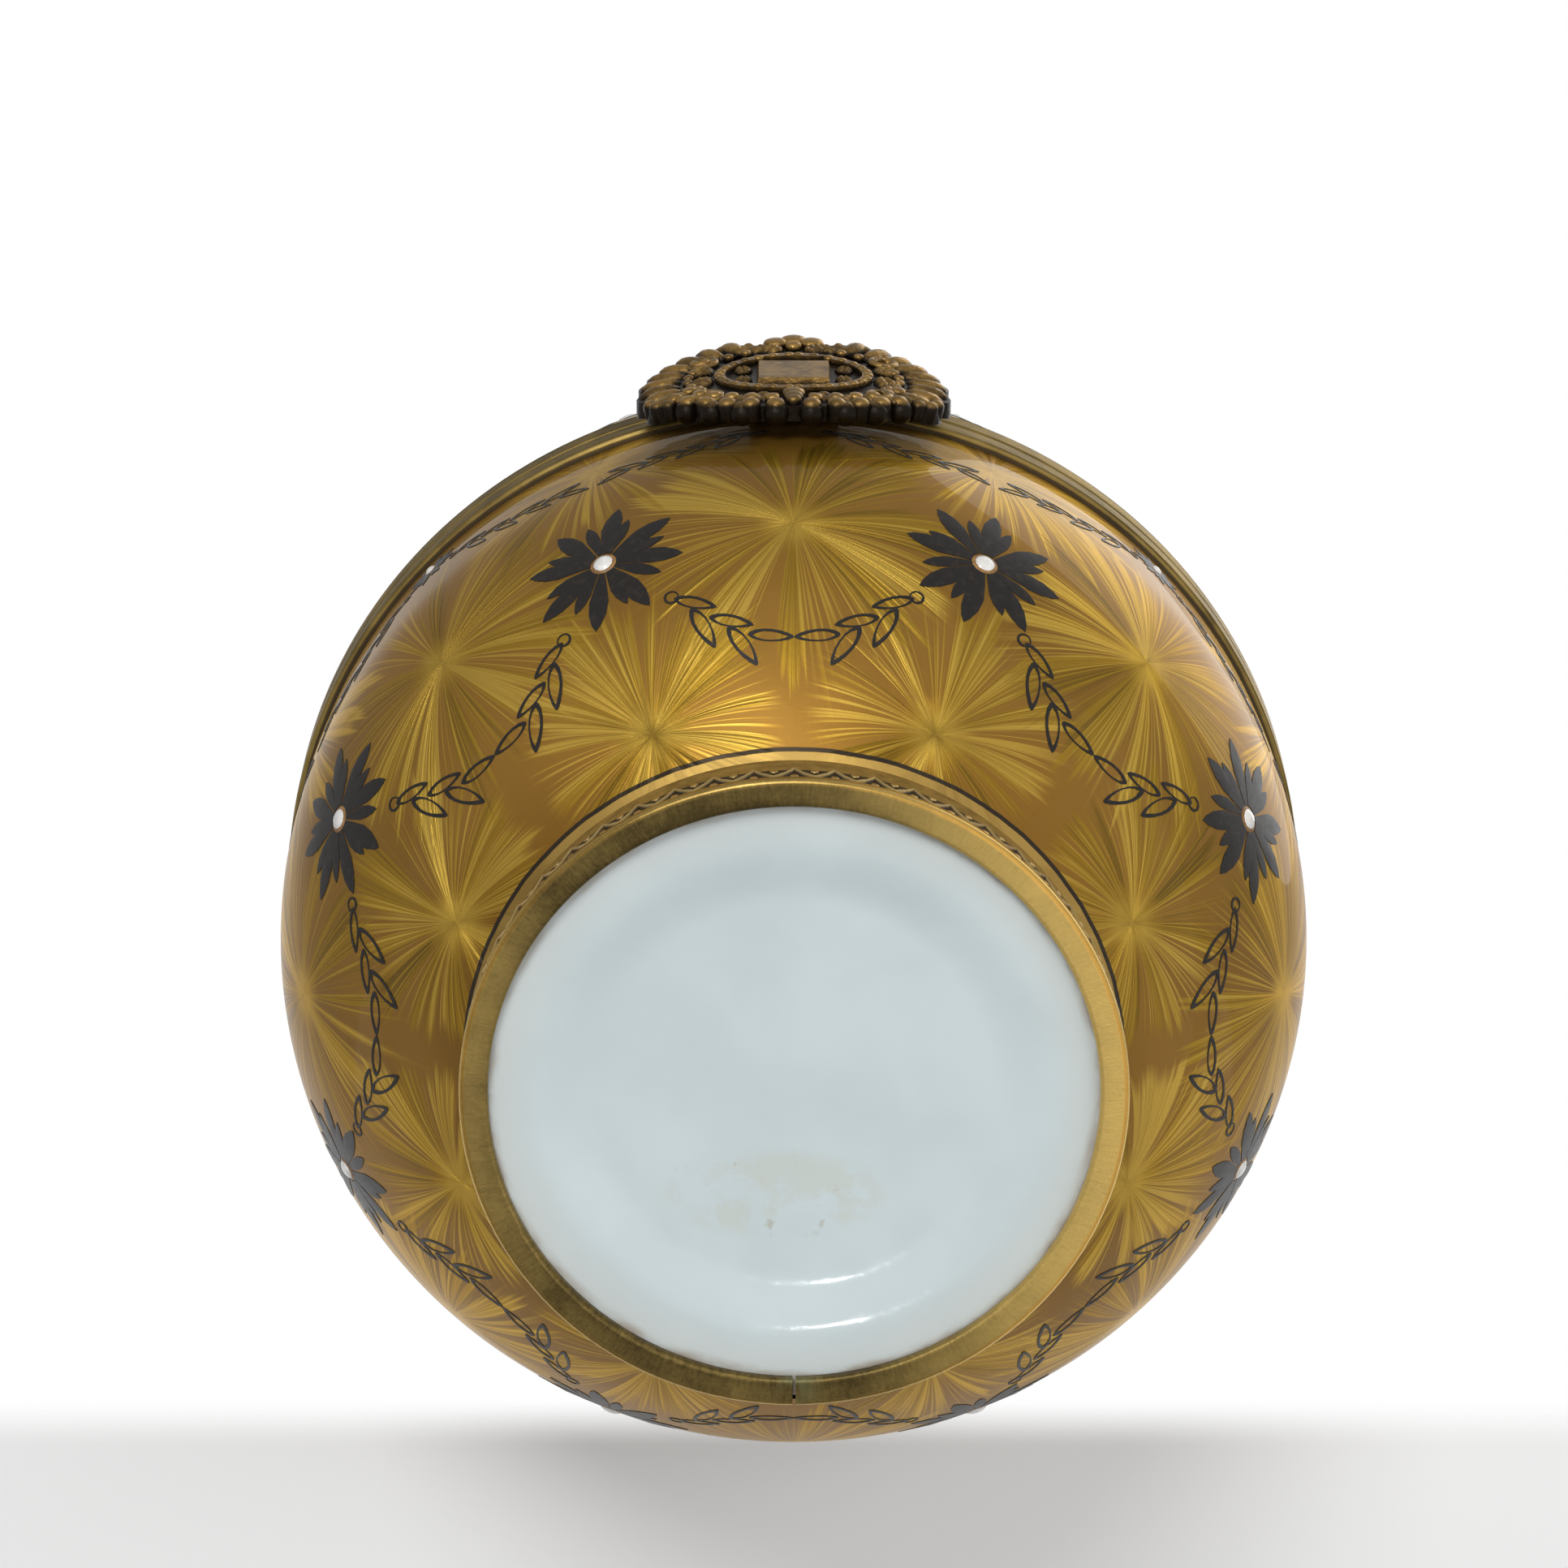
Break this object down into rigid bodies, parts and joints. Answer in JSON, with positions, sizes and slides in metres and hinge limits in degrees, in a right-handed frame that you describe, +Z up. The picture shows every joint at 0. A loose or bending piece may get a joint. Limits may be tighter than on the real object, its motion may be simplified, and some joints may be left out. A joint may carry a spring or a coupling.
{
  "type": "egg-shaped trinket box on a foot ring",
  "caption": "Egg-shaped porcelain box that opens on a hinge at its girth, with brass rims, a pierced clasp ornament and a brass foot ring to stand on.",
  "frame": {"origin": "centre of the foot ring's flat underside, at the level the box stands on", "axes": "+Z up through the egg's tip, clasp towards -Y, hinge towards +Y, +X to the right of a viewer who faces the clasp"},
  "size_m": [0.086, 0.0934, 0.116],
  "materials": {
    "glazed_porcelain": "gloss glaze over gold and black painting outside, white inside and under the base",
    "brass": "polished, with fine wear",
    "antique_brass": "dark antique patina with rubbed high places",
    "bedding_compound": "matt"
  },
  "bodies": {
    "bowl": {"bowl": "glazed_porcelain", "bowl_rim": "brass", "bowl_rim_bedding": "bedding_compound", "foot_ring": "brass", "foot_gallery": "brass", "foot_ring_bedding": "bedding_compound", "bowl_hinge_leaf": "brass", "hinge_pin": "brass", "catch_bead": "brass"},
    "lid": {"lid": "glazed_porcelain", "lid_rim": "brass", "lid_rim_bedding": "bedding_compound", "lid_hinge_leaf": "brass", "clasp_tongue": "brass", "clasp_plate": "antique_brass", "clasp_rivets": "antique_brass"}
  },
  "joints": [
    {"name": "lid_hinge", "type": "hinge", "parent": "bowl", "child": "lid", "pos_m": [0, 0.04474, 0.05], "axis": [-1, 0, 0], "range_deg": [0, 75]}
  ]
}
